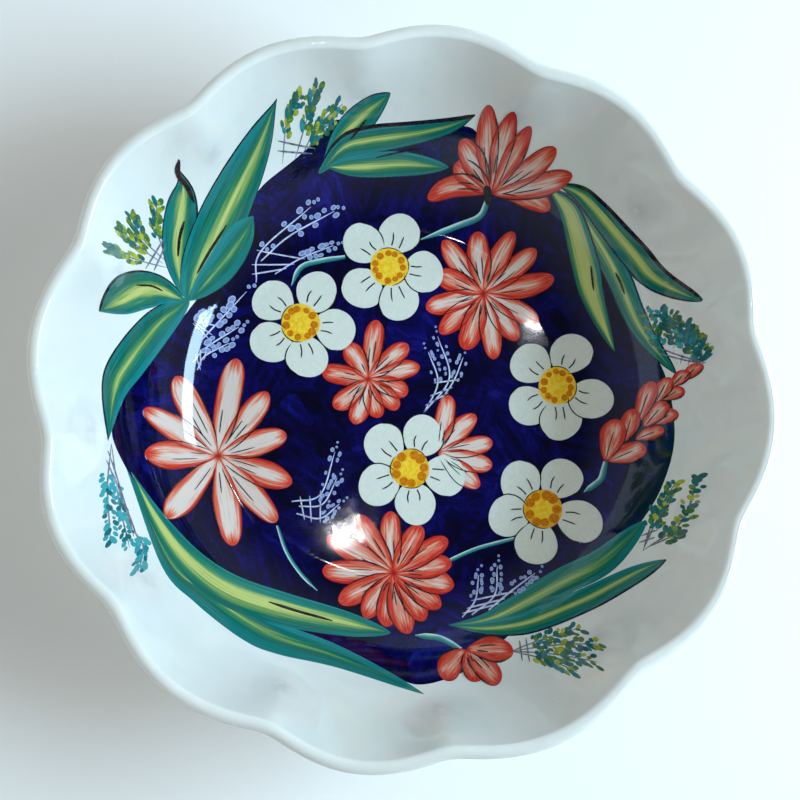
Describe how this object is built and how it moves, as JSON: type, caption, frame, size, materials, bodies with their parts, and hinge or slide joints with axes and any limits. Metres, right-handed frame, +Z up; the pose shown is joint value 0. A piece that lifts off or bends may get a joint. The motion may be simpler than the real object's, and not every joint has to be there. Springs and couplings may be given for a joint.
{
  "type": "serving bowl",
  "caption": "Round glazed ceramic serving bowl with a scalloped lip, a foot ring and hand-painted flowers on a dark ground inside.",
  "frame": {"origin": "centre of the circle that the foot ring stands on", "axes": "+Z up through the middle of the bowl, out of its mouth; +X and +Y in the plane it stands on"},
  "size_m": [0.2788, 0.2783, 0.0843],
  "materials": {
    "fired_clay": "matte fired clay, bare on the foot's standing edge",
    "white_glaze": "cool white gloss glaze",
    "cobalt_colour": "brushed cobalt blue, glossy",
    "green_colour": "teal to yellow-green brush strokes, glossy",
    "coral_colour": "coral red thinned to pink, glossy",
    "white_colour": "white with thin black lines, glossy",
    "yellow_colour": "yellow with orange dabs, glossy"
  },
  "bodies": {
    "root": {"clay_body": "fired_clay", "foot_ring": "fired_clay", "inner_glaze": "white_glaze", "outer_glaze": "white_glaze", "base_glaze": "white_glaze", "cobalt_ground": "cobalt_colour", "green_leaves": "green_colour", "coral_blooms": "coral_colour", "white_daisies": "white_colour", "yellow_daisy_discs": "yellow_colour"}
  },
  "joints": []
}
